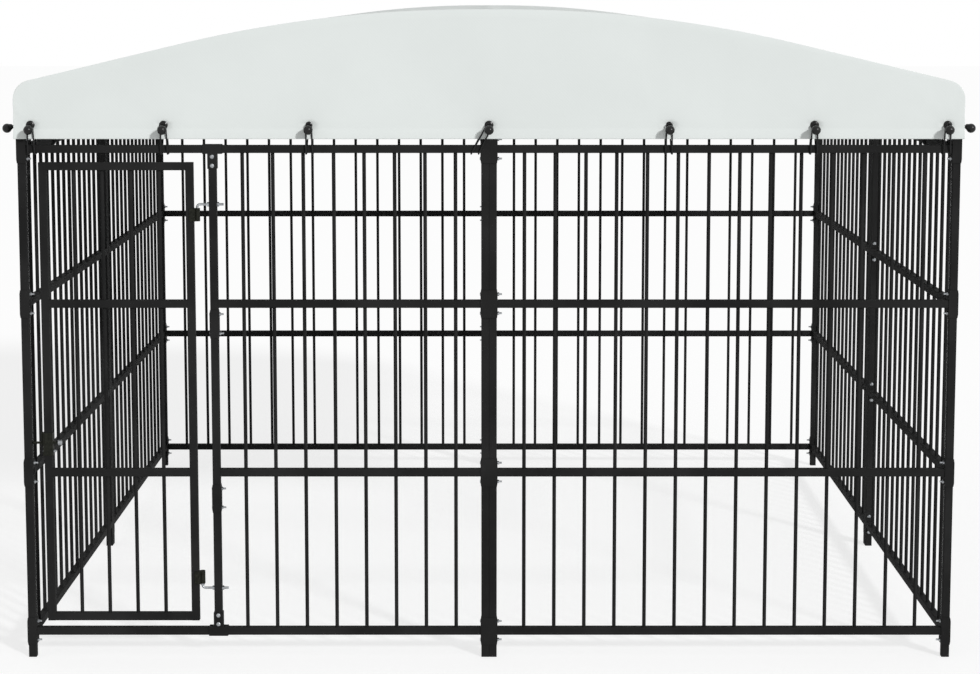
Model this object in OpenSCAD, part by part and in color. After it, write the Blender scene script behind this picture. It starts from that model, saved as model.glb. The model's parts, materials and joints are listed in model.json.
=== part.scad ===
// Outdoor dog kennel run with a barred door and a stretched roof cover.
// Millimetres. Z is up, the ground is Z = 0, the door wall faces -Y.

/* [Overall] */
// Width over the corner posts
run_width = 3000; // [2600:10:3400]
// Depth over the corner posts
run_depth = 3000; // [2600:10:3400]
// Height of the cover at its ridge
ridge_height = 2100; // [2000:5:2250]

/* [Tubes and bars] */
// Side of the square tubes
tube = 25; // [22:0.5:28]
// Wall of the square tubes
tube_wall = 1.2; // [1:0.1:2]
// Outer corner radius of the square tubes
tube_round = 2; // [1.5:0.1:3]
// Diameter of the upright bars
bar_d = 12; // [8:0.5:14]
// Wall of the upright bars
bar_wall = 1; // [0.8:0.1:2]

/* [Rails and bars] */
// Centre height of the bottom rail
rail_1 = 86; // [70:1:110]
// Centre height of the lower middle rail
rail_2 = 611; // [560:1:650]
// Centre height of the upper middle rail
rail_3 = 1161; // [1100:1:1200]
// Centre height of the top rail
rail_4 = 1658; // [1630:1:1680]
// Bars in a full panel
bars_full = 14; // [12:1:16]
// Post face to the first bar's axis in a full panel
margin_full = 88; // [70:1:110]
// Bars in the short panel beside the door
bars_short = 8; // [7:1:9]
// Post face to the first bar's axis in the short panel
margin_short = 82; // [70:1:100]

/* [Posts] */
// Height of the posts that carry arches
post_top = 1780; // [1765:1:1795]
// Height of the middle posts of the gable walls
gable_post_top = 1704; // [1690:1:1715]
// Thickness of a plug's flange
plug_flange = 3; // [2:0.5:6]
// Length of a plug's stem inside its tube
plug_stem = 20; // [10:1:40]

/* [Clamps] */
// Thickness of the pressed plate
plate = 2.5; // [1.5:0.1:3]
// Height of a clamp
clamp_height = 90; // [80:1:100]
// Length of the thinned end of a clamp's cheek
clamp_taper = 12; // [6:1:14]
// Bolts above and below the rail's centre
bolt_offset = 31; // [27:0.5:33]
// Reach of a corner clamp past its post
clamp_reach = 12; // [6:0.5:14]
// Height of a clamp on the door post
door_clamp_height = 92; // [86:1:100]
// Upper door post clamp's centre below its rail
door_clamp_drop_3 = 65; // [64:1:80]
// Lower door post clamp's centre below its rail
door_clamp_drop_2 = 85; // [64:1:100]

/* [Fasteners] */
// Diameter of the clamp bolts
bolt_d = 6; // [5:0.5:6]
// Diametral room of a bolt in its hole
bolt_room = 0.4; // [0.2:0.1:0.8]
// Diameter of a low domed head
head_d = 13; // [11:0.5:14]
// Height of a low domed head
head_h = 2; // [1.5:0.1:2.4]
// Nut across its flats
nut_af = 10; // [9:0.5:11]
// Nut thickness
nut_h = 5; // [4:0.5:6]
// Thread past the clamp, nut included
thread_out = 14; // [10:0.5:15]

/* [Door] */
// Door post's centre left of the run's middle
door_post_at = 880.5; // [860:0.5:900]
// Door to corner post
door_gap_latch = 40.3; // [36:0.1:46]
// Door to door post
door_gap_hinge = 49; // [44:0.5:54]
// Door to the header rail
door_gap_top = 30; // [20:0.5:36]
// Door to the sill rail
door_gap_sill = 23.5; // [15:0.5:30]
// Bars in the door
door_bars = 4; // [3:1:5]
// Length of a tee's sleeve along the rail
tee_length = 62; // [60:1:80]
// Reach of a tee's sleeve along the door post
tee_reach = 50; // [44:1:60]
// First and second tee bolt from the rail's centre
tee_bolts_at = [24, 53]; // [20:1:56]

/* [Hinges] */
// Diameter of the hinge pins
pin_d = 8; // [7:0.5:9]
// Diametral room of a pin or rod in its guide
run_room = 0.16; // [0.1:0.02:0.2]
// Hinge axis from the door's edge
hinge_out = 10.4; // [10:0.1:12]
// Width of a hinge eye's leaf on the door's stile
leaf_w = 14; // [10:0.5:18]
// Thickness of that leaf
leaf_t = 2.5; // [2:0.1:3]
// Outer diameter of a hinge eye
eye_d = 18.4; // [15:0.1:20]
// Height of a hinge eye
eye_h = 42; // [34:1:50]
// Upper eye's lower end below the door's top
eye_top_drop = 188.5; // [160:0.5:220]
// Lower eye's lower end above the door's foot
eye_foot_rise = 121.5; // [100:0.5:150]
// Bend radius of a hinge pin
pin_bend = 10; // [9:0.5:12]
// Hinge pin's end past the door post
pin_out = 21; // [16:0.5:26]
// Hinge nut across its flats
pin_nut_af = 13; // [12:0.5:15]
// Hinge nut thickness
pin_nut_h = 6.5; // [5:0.5:8]

/* [Latch] */
// Height of the latch rod's axis
latch_z = 708; // [690:1:730]
// Diameter of the latch rod
rod_d = 8; // [7:0.5:9]
// Latch rod's tip to the post at rest
rod_short = 1.5; // [1:0.1:3]
// Exposed rod between the housing and the knob
rod_free = 13; // [12.5:0.5:20]
// Diameter of the knob
knob_d = 17; // [14:0.5:20]
// Length of the knob
knob_l = 14; // [10:0.5:18]
// Thickness of the latch housing
latch_plate = 3; // [2:0.1:4]
// Housing above the rod's axis
latch_up = 34; // [24:1:40]
// Housing below the rod's axis
latch_down = 40; // [36:1:46]
// Latch bolt below the rod's axis
latch_bolt_drop = 27; // [24:0.5:29]
// Thickness of the guide lug
lug = 6.3; // [4:0.1:8]

/* [Roof] */
// Clearance between the posts and the cover
cover_gap = 6; // [5:0.1:9]
// Thickness of the cover
cover_t = 1.5; // [1:0.1:2.5]
// Hem of the cover above the top rail's centre
hem_rise = 32.7; // [26:0.1:38]
// Half width of the straight part at the ridge
roof_flat = 50; // [48:1:70]
// Outer radius of the roof's curve
roof_radius = 4000; // [3500:50:4500]
// Slope of the roof at the eaves, in degrees
roof_pitch = 13.4; // [12:0.1:15]
// Outer radius of the eave
eave_radius = 60; // [54:1:66]
// Half length of a ridge sleeve
sleeve_half = 42; // [36:1:46]
// Reach of an eave sleeve each way
eave_sleeve = 34; // [24:1:36]
// Wall of the inner sleeves
sleeve_wall = 2; // [1.5:0.1:3]
// Reach of a saddle plate under a ridge tube
saddle_reach = 60; // [50:1:80]
// Diameter of the ridge screws
screw_d = 5; // [4:0.5:6]

/* [Ties] */
// Eyelets above the hem
eyelet_rise = 44.3; // [38:0.1:50]
// Hole of an eyelet
eyelet_bore = 14; // [13:0.5:16]
// Outer diameter of an eyelet
eyelet_d = 28; // [26:0.5:30]
// Height of an eyelet's front rim
eyelet_h = 2.5; // [1.5:0.1:3]
// Thickness of an eyelet's flange
eyelet_t = 1.2; // [0.8:0.1:2]
// Diameter of a tie's ball
ball_d = 30; // [28:0.5:32]
// Ball's centre from the cover
ball_out = 35; // [34:0.5:40]
// Ball's centre below its eyelet
ball_drop = 14; // [12:0.5:15]
// Small end of the ball's collar, from the ball's centre
collar_reach = 19.5; // [18:0.1:20]
// Diameter of that end
collar_d = 14; // [13:0.1:14.5]
// Bight of the cord behind the ball, from the cover
hook_out = 10; // [9.8:0.1:11]
// Radius of that bight
hook_r = 8.7; // [8.5:0.1:9.2]
// Diameter of the elastic cord
cord_d = 5; // [4:0.1:5.4]
// Front corner of the cord under the rail, out from the rail's face
cord_front = 3.2; // [2.8:0.1:4]
// Bend radius of the cord at that corner
cord_bend = 5; // [4.5:0.1:6]
// Room between the cord and the rail
cord_room = 0.3; // [0.2:0.1:0.6]
// Half distance of the two strands in the eyelet
strand_half = 3; // [2.8:0.1:3.4]
// Half the distance of the two strands under the top rail
strand_low = 10.6; // [9:0.1:11.6]
// Lean of the middle tie beside its post, in degrees
tie_lean = 26; // [24:0.5:28]
// Ties from the middle of a gable wall
ties_gable = [571, 1032, 1454]; // [300:1:1454]
// Ties from the middle of a side wall
ties_side = [571, 1032, 1440]; // [300:1:1440]
// Middle tie of a side wall, in front of its post
tie_side_mid = 62; // [58:1:80]

/* [Hidden] */
$fn = 48;
hw = run_width / 2;
hd = run_depth / 2;
half = tube / 2;
bore = tube - 2 * tube_wall;
rails = [rail_1, rail_2, rail_3, rail_4];
hole_d = bolt_d + bolt_room;
// stem that ends above the top clamp's upper bolt
short_stem = min(plug_stem, gable_post_top - rail_4 - bolt_offset - hole_d / 2 - 1);
far = 60;
eps = 0.01;
lap = 0.3;
// door outline and hinge axis
door_left = -(hw - tube) + door_gap_latch;
door_right = -(door_post_at + half) - door_gap_hinge;
door_foot = rail_1 + half + door_gap_sill;
door_head = rail_4 - half - door_gap_top;
wall_y = -(hd - half);
hinge_x = door_right + hinge_out;
eye_top_z = door_head - eye_top_drop;
eye_foot_z = door_foot + eye_foot_rise;
pin_top_z = eye_top_z + eye_h + pin_bend + 2;
pin_foot_z = eye_foot_z - pin_bend - 5.5;
// latch
rod_tip = -(hw - tube) + rod_short;
latch_right = door_left + tube + latch_plate;
knob_left = latch_right + rod_free;
// cover
cover_x = hw + cover_gap + cover_t;
cover_y = hd + cover_gap + cover_t;
hem_z = rail_4 + hem_rise;
tie_z = hem_z + eyelet_rise;
tie_drop = tie_z - (rail_4 - half - cord_d / 2 - cord_room);
face_y = cover_gap + cover_t;
ball_y = face_y + ball_out;
ball_in = ball_y - ball_d / 4;
rear_y = -tube - cord_d / 2 - cord_room;
ball_dip = atan2(ball_drop, ball_out);
hook_y = face_y + hook_out;
hook_tilt = atan2(hook_y - cord_front, tie_drop - hook_out * tan(ball_dip));
arch_in = cover_t + half;
arch_z = ridge_height - arch_in;
arches = [-(hd - half), -half, hd - half];
saddle_z = ridge_height - cover_t - tube - plate;
steel = "#2b2b2b";
zinc = "#b9bcc0";
fabric = "#e2e4e3";
dark = "#161616";

// Corner between the level ridge line and the slope, moved in by e
function knee(e) = [roof_flat + (roof_radius - e) * tan(roof_pitch / 2), ridge_height - e];
// Corner between the slope, moved in by e, and an upright at x
function eave(e, x) = [x, knee(e)[1] - (x - knee(e)[0]) * tan(roof_pitch)];
// Distance from a corner to where its bend of radius r begins
function setback(p, q, s, r) = r * tan(abs(turn(p, q, s)) / 2);
function unit(v) = v / norm(v);
// Signed turn of the route p, q, s at q
function turn(p, q, s) =
    let (u = unit(q - p), v = unit(s - q))
    atan2(u[0] * v[1] - u[1] * v[0], u[0] * v[0] + u[1] * v[1]);
function back_off(route, bends, i) =
    i == 0 || i == len(route) - 1 ? 0 : setback(route[i - 1], route[i], route[i + 1], bends[i - 1]);

// Lays a section along a flat route; the first child is the section of the straight runs,
// the second that of the bends, a hair smaller, and the runs lap over the bends
module bent(route, bends) {
    last = len(route) - 1;
    for (i = [0 : last - 1]) {
        run = route[i + 1] - route[i];
        from = i == 0 ? 0 : back_off(route, bends, i) - lap;
        to = norm(run) - (i == last - 1 ? 0 : back_off(route, bends, i + 1) - lap);
        if (to - from > 2 * lap)
            translate(concat(route[i], 0))
                rotate(atan2(run[1], run[0]))
                    translate([from, 0, 0])
                        rotate([0, 90, 0])
                            linear_extrude(to - from)
                                children(0);
    }
    for (i = [1 : 1 : last - 1]) {
        t = turn(route[i - 1], route[i], route[i + 1]);
        u = unit(route[i] - route[i - 1]);
        start = route[i] - u * back_off(route, bends, i);
        side = [-u[1], u[0]] * sign(t);
        middle = start + side * bends[i - 1];
        first = atan2(-side[1], -side[0]);
        translate(concat(middle, 0))
            rotate(t > 0 ? first : first + t)
                rotate_extrude(angle = abs(t))
                    translate([bends[i - 1], 0])
                        children(1);
    }
}

// Square with rounded corners
module soft_square(side, r) {
    square([side, side - 2 * r], center = true);
    square([side - 2 * r, side], center = true);
    for (sx = [-1, 1], sy = [-1, 1])
        translate([sx * (side / 2 - r), sy * (side / 2 - r)])
            circle(r);
}

module tube_section() {
    difference() {
        soft_square(tube, tube_round);
        square(bore, center = true);
    }
}

module sleeve_section() {
    difference() {
        square(bore, center = true);
        square(bore - 2 * sleeve_wall, center = true);
    }
}

// Horizontal tube along X from 0
module rail(length) {
    rotate([90, 0, 90])
        linear_extrude(length)
            tube_section();
}

module along_x(d, from, to) {
    translate([from, 0, 0])
        rotate([0, 90, 0])
            cylinder(h = to - from, d = d);
}

module along_y(d, from, to) {
    translate([0, from, 0])
        rotate([-90, 0, 0])
            cylinder(h = to - from, d = d);
}

// The four corner posts: +X runs along the gable wall and +Y along the side wall
module at_corner(sx, sy) {
    translate([sx * (hw - half), sy * (hd - half), 0])
        mirror([sx > 0 ? 1 : 0, 0, 0])
            mirror([0, sy > 0 ? 1 : 0, 0])
                children();
}

// The middle of wall w, with -Y outwards: 0 door wall, 1 right, 2 back, 3 left
module at_wall(w) {
    rotate(90 * w)
        translate([0, -((w % 2 == 0 ? hd : hw) - half), 0])
            children();
}

module at_clamps() {
    for (z = rails)
        translate([0, 0, z])
            children();
}

module at_bolts(offset = bolt_offset) {
    for (s = [-1, 1])
        translate([0, 0, s * offset])
            children();
}

// Upright tube that stands on a foot plug
module upright(top) {
    translate([0, 0, plug_flange])
        linear_extrude(top - plug_flange)
            tube_section();
}

module corner_post(sx, sy) {
    color(steel)
        at_corner(sx, sy)
            difference() {
                upright(post_top);
                at_clamps()
                    at_bolts()
                        along_x(hole_d, -far, far);
                if (sx < 0 && sy < 0)
                    translate([0, 0, latch_z])
                        along_x(rod_d + 1, 0, half + 1);
            }
}

// Side -1 or 1 of the tube pair in the middle of wall w
module mid_post(w, side) {
    color(steel)
        at_wall(w)
            translate([side * half, 0, 0])
                difference() {
                    upright(w % 2 == 0 ? gable_post_top : post_top);
                    at_clamps()
                        at_bolts()
                            along_x(hole_d, -far, far);
                }
}

module door_post_part() {
    color(steel)
        translate([-door_post_at, wall_y, 0])
            difference() {
                translate([0, 0, rail_1 + half])
                    linear_extrude(rail_4 - rail_1 - tube)
                        tube_section();
                for (z = tee_bolts_at)
                    for (c = [rail_1 + z, rail_4 - z])
                        translate([0, 0, c])
                            along_y(hole_d, -far, far);
                for (c = [rail_3 - door_clamp_drop_3, rail_2 - door_clamp_drop_2])
                    translate([0, 0, c])
                        at_bolts()
                            along_x(hole_d, -far, far);
                for (z = [pin_top_z, pin_foot_z])
                    translate([0, 0, z])
                        along_x(pin_d, -far, far);
            }
}

// Bars that run from inside the bottom rail to inside the top rail
module bars(count, first, pitch, low, high, d) {
    for (i = [0 : count - 1])
        translate([first + i * pitch, 0, low])
            cylinder(h = high - low, d = d);
}

// Weldment of four rails and upright bars; the outer rails start at lead
module panel(length, count, margin, lead) {
    pitch = (length - 2 * margin) / (count - 1);
    inner = half - tube_wall - 3;
    color(steel)
        difference() {
            union() {
                for (z = [rail_2, rail_3])
                    translate([0, 0, z])
                        rail(length);
                for (z = [rail_1, rail_4])
                    translate([-lead, 0, z])
                        rail(length + lead);
                bars(count, margin, pitch, rail_1 + inner, rail_4 - inner, bar_d);
            }
            bars(count, margin, pitch, rail_1, rail_4, bar_d - 2 * bar_wall);
        }
}

// Full panel on side -1 or 1 of wall w
module full_panel(w, side) {
    clear = (w % 2 == 0 ? hw : hd) - 2 * tube;
    at_wall(w)
        translate([side < 0 ? -tube - clear : tube, 0, 0])
            panel(clear, bars_full, margin_full, 0);
}

module short_panel() {
    translate([-door_post_at + half, wall_y, 0])
        panel(door_post_at - half - tube, bars_short, margin_short, half);
}

module door_rail(z) {
    color(steel)
        translate([-(hw - tube), wall_y, z])
            rail(hw - tube - door_post_at);
}

// Tee of pressed plate round the rail and the post; up is 1 for the sill, -1 for the header
module tee(z, up) {
    outer = tube + 2 * plate;
    color(steel)
        translate([-door_post_at, wall_y, z])
            difference() {
                union() {
                    cube([tee_length, outer, outer], center = true);
                    translate([0, 0, up * (half + tee_reach) / 2])
                        cube([outer, outer, half + tee_reach], center = true);
                }
                translate([-far, 0, 0])
                    rotate([90, 0, 90])
                        linear_extrude(2 * far)
                            soft_square(tube, tube_round);
                mirror([0, 0, up < 0 ? 1 : 0])
                    linear_extrude(far + tee_reach)
                        soft_square(tube, tube_round);
                for (b = tee_bolts_at)
                    translate([0, 0, up * b])
                        along_y(hole_d, -far, far);
            }
}

// U of pressed plate, open towards +Y, round a post of width w with cheeks to y = reach
module clamp(w, height, reach) {
    outer = w / 2 + plate;
    thin = w / 2 + 0.6;
    intersection() {
        difference() {
            translate([-outer, -half - plate, -height / 2])
                cube([2 * outer, half + plate + reach, height]);
            translate([-w / 2, -half, -height])
                cube([w, 2 * far, 2 * height]);
            at_bolts()
                along_x(hole_d, -far, far);
        }
        rotate([90, 0, 0])
            linear_extrude(2 * far, center = true)
                polygon([
                    [-thin, -height / 2], [thin, -height / 2],
                    [outer, -height / 2 + clamp_taper], [outer, height / 2 - clamp_taper],
                    [thin, height / 2], [-thin, height / 2],
                    [-outer, height / 2 - clamp_taper], [-outer, -height / 2 + clamp_taper]
                ]);
    }
}

module corner_clamps() {
    color(steel)
        for (sx = [-1, 1], sy = [-1, 1])
            at_corner(sx, sy)
                at_clamps()
                    difference() {
                        clamp(tube, clamp_height, half + clamp_reach);
                        translate([half - eps, -half, -half])
                            cube([far, tube, tube]);
                    }
}

module mid_clamps() {
    color(steel)
        for (w = [0 : 3])
            at_wall(w)
                at_clamps()
                    difference() {
                        clamp(2 * tube, clamp_height, half);
                        translate([-far, -half, -half])
                            cube([2 * far, 2 * tube, tube]);
                    }
}

module at_door_clamps() {
    for (c = [rail_3 - door_clamp_drop_3, rail_2 - door_clamp_drop_2])
        translate([-door_post_at, wall_y, c])
            children();
}

module door_post_clamps() {
    color(steel)
        at_door_clamps()
            clamp(tube, door_clamp_height, half);
}

// Bolt along +X through a clamp of width w, head first
module bolt(w) {
    grip = w / 2 + plate;
    color(zinc) {
        along_x(bolt_d, -grip, grip + thread_out);
        translate([-grip, 0, 0])
            rotate([0, -90, 0])
                cylinder(h = head_h, d1 = head_d, d2 = head_d * 0.6);
    }
}

module nut(at, af, h, d) {
    color(zinc)
        translate([at, 0, 0])
            rotate([0, 90, 0])
                difference() {
                    cylinder(h = h, d = af / cos(30), $fn = 6);
                    translate([0, 0, -1])
                        cylinder(h = h + 2, d = d);
                }
}

module clamp_bolts() {
    for (sx = [-1, 1], sy = [-1, 1])
        at_corner(sx, sy)
            at_clamps()
                at_bolts()
                    bolt(tube);
    for (w = [0 : 3])
        at_wall(w)
            at_clamps()
                at_bolts()
                    bolt(2 * tube);
    at_door_clamps()
        at_bolts()
            bolt(tube);
}

module clamp_nuts() {
    for (sx = [-1, 1], sy = [-1, 1])
        at_corner(sx, sy)
            at_clamps()
                at_bolts()
                    nut(half + plate, nut_af, nut_h, bolt_d);
    for (w = [0 : 3])
        at_wall(w)
            at_clamps()
                at_bolts()
                    nut(tube + plate, nut_af, nut_h, bolt_d);
    at_door_clamps()
        at_bolts()
            nut(half + plate, nut_af, nut_h, bolt_d);
}

module at_tee_bolts() {
    for (b = tee_bolts_at)
        for (z = [rail_1 + b, rail_4 - b])
            translate([-door_post_at, wall_y, z])
                rotate(90)
                    children();
}

module tee_bolts() {
    at_tee_bolts()
        bolt(tube);
}

module tee_nuts() {
    at_tee_bolts()
        nut(half + plate, nut_af, nut_h, bolt_d);
}

// Half of the band between two lines under the roof, moved in by e1 and e2
module arch_band(e1, e2, from, low) {
    intersection() {
        difference() {
            roof_profile(cover_t + e1, hw - e1, low);
            roof_profile(cover_t + e2, hw - e2, low - 10);
        }
        translate([from, low - 1])
            square([run_width, ridge_height]);
    }
}

// Half arch on side -1 or 1 that stands on the post below it
module arch(y, side) {
    color(steel)
        mirror([side < 0 ? 1 : 0, 0, 0])
            difference() {
                translate([0, y, 0])
                    rotate([90, 0, 0])
                        difference() {
                            linear_extrude(tube, center = true)
                                arch_band(0, tube, 0, post_top);
                            linear_extrude(bore, center = true)
                                arch_band(tube_wall, tube - tube_wall, -1, post_top - 1);
                        }
                translate([sleeve_half - 12, y, saddle_z])
                    cylinder(h = 14, d = screw_d);
            }
}

module ridge_tube(from, to, screws) {
    color(steel)
        difference() {
            translate([0, from, arch_z])
                rotate([-90, 0, 0])
                    linear_extrude(to - from)
                        tube_section();
            for (y = screws)
                translate([0, y, saddle_z])
                    cylinder(h = 14, d = screw_d);
        }
}

// Places of the ridge tubes' screws
ridge_screws_at = [
    for (i = [0, 1]) each [arches[i] + half + saddle_reach / 2, arches[i + 1] - half - saddle_reach / 2]
];

module at_ridge_screws() {
    for (y = ridge_screws_at)
        translate([0, y, saddle_z])
            children();
    for (y = arches, s = [-1, 1])
        translate([s * (sleeve_half - 12), y, saddle_z])
            children();
}

module inner_sleeves() {
    color(zinc) {
        difference() {
            for (y = arches)
                translate([-sleeve_half, y, arch_z])
                    rotate([90, 0, 90])
                        linear_extrude(2 * sleeve_half)
                            sleeve_section();
            at_ridge_screws()
                cylinder(h = 14, d = screw_d);
        }
        for (y = arches, s = [-1, 1])
            translate([s * (hw - half), y, post_top - eave_sleeve])
                linear_extrude(2 * eave_sleeve)
                    sleeve_section();
    }
}

module saddle_plates() {
    color(steel)
        difference() {
            for (i = [0 : 2])
                translate([0, arches[i], saddle_z]) {
                    translate([-sleeve_half, -half, 0])
                        cube([2 * sleeve_half, tube, plate]);
                    if (i > 0)
                        translate([-half, -half - saddle_reach, 0])
                            cube([tube, saddle_reach + 1, plate]);
                    if (i < 2)
                        translate([-half, half - 1, 0])
                            cube([tube, saddle_reach + 1, plate]);
                }
            at_ridge_screws()
                translate([0, 0, -1])
                    cylinder(h = 14, d = screw_d);
        }
}

module ridge_screws() {
    color(zinc)
        at_ridge_screws() {
            cylinder(h = 12, d = screw_d);
            translate([0, 0, -3])
                cylinder(h = 3, d1 = screw_d * 1.4, d2 = screw_d * 2);
        }
}

// Plug with its flange at z = 0 and its stem upwards
module plug(stem = plug_stem) {
    color(dark) {
        linear_extrude(plug_flange)
            soft_square(tube, tube_round);
        translate([0, 0, plug_flange - eps])
            linear_extrude(stem + eps)
                square(bore, center = true);
    }
}

module foot_plugs() {
    for (sx = [-1, 1], sy = [-1, 1])
        at_corner(sx, sy)
            plug();
    for (w = [0 : 3], s = [-1, 1])
        at_wall(w)
            translate([s * half, 0, 0])
                foot_of_pair();
}

// The two plugs of a pair keep a hair's gap so that they stay two pieces
module foot_of_pair(stem = plug_stem) {
    intersection() {
        plug(stem);
        translate([0, 0, 50])
            cube([tube - 0.1, tube, 100], center = true);
    }
}

module top_plugs() {
    for (w = [0, 2], s = [-1, 1])
        at_wall(w)
            translate([s * half, 0, gable_post_top + plug_flange])
                mirror([0, 0, 1])
                    foot_of_pair(short_stem);
    for (s = [-1, 1])
        translate([s * (hw - half), half, post_top + plug_flange])
            mirror([0, 0, 1])
                plug();
}

// Region between a chord pq and its circle round c
module arc_cap(c, r, p, q) {
    n = unit((p + q) / 2 - c);
    intersection() {
        translate(c)
            circle(r, $fn = 240);
        polygon([p, q, q + n * r / 4, p + n * r / 4]);
    }
}

// Area under the roof line moved in by e, out to the upright at x and down to z = low
module roof_profile(e, x, low) {
    c = eave(e, x);
    r = roof_radius - e;
    re = eave_radius - e;
    s = re * tan((90 - roof_pitch) / 2);
    slope = [cos(roof_pitch), -sin(roof_pitch)];
    top = [roof_flat, ridge_height - e];
    curve_end = top + [r * sin(roof_pitch), -r * (1 - cos(roof_pitch))];
    bend_top = c - slope * s;
    bend_low = c - [0, s];
    right = [[x, low], bend_low, bend_top, curve_end, top];
    left = [for (i = [len(right) - 1 : -1 : 0]) [-right[i][0], right[i][1]]];
    polygon(concat(right, left));
    for (m = [0, 1])
        mirror([m, 0]) {
            arc_cap(top - [0, r], r, top, curve_end);
            arc_cap(bend_low - [re, 0], re, bend_low, bend_top);
        }
}

module roof_solid(e, low) {
    rotate([90, 0, 0])
        linear_extrude(2 * (cover_y - e), center = true)
            roof_profile(e, cover_x - e, low);
}

// Every tie: x along the wall, y outwards from the post's face; $lean turns the middle one
module at_ties() {
    for (w = [0 : 3]) {
        list = w % 2 == 0 ? ties_gable : ties_side;
        at_wall(w)
            translate([0, -half, tie_z])
                rotate(180) {
                    for (x = list, s = [-1, 1])
                        translate([s * x, 0, 0]) {
                            $lean = 0;
                            children();
                        }
                    if (w % 2 == 0) {
                        $lean = tie_lean;
                        children();
                    } else
                        translate([tie_side_mid * (w == 1 ? 1 : -1), 0, 0]) {
                            $lean = 0;
                            children();
                        }
                }
    }
}

module roof_cover() {
    color(fabric)
        difference() {
            roof_solid(0, hem_z);
            roof_solid(cover_t, hem_z - 10);
            at_ties()
                along_y(eyelet_bore + 2 * eyelet_t, 0, far);
        }
}

// Ring through the cover with a flat flange behind and a bevelled rim in front
module cover_eyelets() {
    color(dark)
        at_ties()
            difference() {
                union() {
                    along_y(eyelet_bore + 2 * eyelet_t, cover_gap - eyelet_t, face_y + eyelet_t);
                    along_y(eyelet_d, cover_gap - eyelet_t, cover_gap);
                    translate([0, face_y, 0])
                        rotate([-90, 0, 0])
                            cylinder(h = eyelet_h, d1 = eyelet_d, d2 = eyelet_bore + 2 * eyelet_t + 1);
                }
                along_y(eyelet_bore, 0, far);
            }
}

// Point of the cord's straight run from the ball through the eyelet, as [y, height]
function neck_at(y) = [y, (face_y - y) * tan(ball_dip)];
// Sideways place of a strand under the rail
function low_x(side, lean) = side * strand_low / cos(lean) + tie_drop * tan(lean);
// Middle of the bight that hooks over the cord behind the ball
function hook_at() = concat(0, neck_at(hook_y));
// End of the bight on one side
function hook_end(side, lean) =
    let (r = side * hook_r)
    hook_at() + [r * cos(lean), r * sin(lean) * sin(hook_tilt), r * sin(lean) * cos(hook_tilt)];
// Sideways slope of a strand between the rail and the bight
function rise_angle(side, lean) =
    atan2(hook_end(side, lean)[0] - low_x(side, lean), hook_end(side, lean)[2] + tie_drop);
// Flat route of a strand's front part, from the start of its bend under the rail to the bight
function front_route(side, lean) =
    let (
        low = [cord_front, 0],
        end = [hook_end(side, lean)[1], (hook_end(side, lean)[2] + tie_drop) / cos(rise_angle(side, lean))],
        cut = setback(low - [1, 0], low, end, cord_bend)
    )
    [low - [cut, 0], low, end + unit(end - low) * lap];

module cord_section() {
    circle(d = cord_d);
}

module cord_bend_section() {
    circle(d = cord_d - lap / 2);
}

// Upright plane through a strand's neck
module neck_plane(side) {
    translate([side * strand_half, 0, 0])
        rotate([90, 0, 90])
            children();
}

// A strand's straight way out of the ball and through the eyelet
module strand_neck(side) {
    neck_plane(side)
        bent([neck_at(ball_in), neck_at(rear_y)], [])
            cord_section();
}

// The turn behind the eyelet
module strand_turn(side) {
    neck_plane(side)
        translate(neck_at(rear_y))
            sphere(d = cord_d + lap);
}

// The same strand's way down behind the top rail, leaning to its place under it
module strand_drop(side, lean) {
    top = neck_at(rear_y)[1];
    swing = atan2(low_x(side, lean) - side * strand_half, top + tie_drop);
    under = -(top + tie_drop) / cos(swing);
    translate([side * strand_half, 0, top])
        rotate([0, -swing, 0])
            rotate([90, 0, 90])
                bent([[rear_y, 0], [rear_y, under],
                      [front_route(side, lean)[0][0] + lap, under]], [4.5]) {
                    cord_section();
                    cord_bend_section();
                }
}

// The same strand's way from under the rail up to the bight
module strand_front(side, lean) {
    translate([low_x(side, lean), 0, -tie_drop])
        rotate([0, rise_angle(side, lean), 0])
            rotate([90, 0, 90])
                bent(front_route(side, lean), [cord_bend]) {
                    cord_section();
                    cord_bend_section();
                }
}

// The bight that joins the two strands over the cord's neck
module hook(lean) {
    translate(hook_at())
        rotate([-hook_tilt, 0, 0])
            rotate([0, -lean, 0])
                rotate([90, 0, 0])
                    rotate_extrude(angle = 180)
                        translate([hook_r, 0])
                            cord_bend_section();
}

module tie_cords() {
    color(dark)
        at_ties() {
            strand_neck(-1);
            strand_turn(-1);
            strand_drop(-1, $lean);
            strand_front(-1, $lean);
            strand_neck(1);
            strand_turn(1);
            strand_drop(1, $lean);
            strand_front(1, $lean);
            hook($lean);
        }
}

// Ball with a conical collar towards its eyelet, around the ends of the two strands
module tie_balls() {
    from = ball_d * 0.27;
    wide = collar_d + (collar_reach - from) * 0.8;
    color(dark)
        at_ties()
            difference() {
                translate([0, ball_y, -ball_drop])
                    rotate([90 - ball_dip, 0, 0]) {
                        sphere(d = ball_d);
                        translate([0, 0, from])
                            cylinder(h = collar_reach - from, d1 = wide, d2 = collar_d);
                    }
                for (s = [-1, 1])
                    neck_plane(s)
                        bent([neck_at(ball_in), neck_at(cover_gap)], [])
                            cord_section();
            }
}

// L-shaped pin that turns from the rod at z into the eye, up 1 or down -1
module hinge_pin(z, up, leg) {
    route = [
        [hinge_x, z + up * leg],
        [hinge_x, z],
        [-door_post_at + half + pin_out, z]
    ];
    color(zinc)
        translate([0, wall_y, 0])
            rotate([90, 0, 0])
                bent(route, [pin_bend]) {
                    circle(d = pin_d);
                    circle(d = pin_d - lap / 2);
                }
}

module hinge_pin_top() {
    hinge_pin(pin_top_z, -1, pin_top_z - eye_top_z - 5);
}

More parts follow.
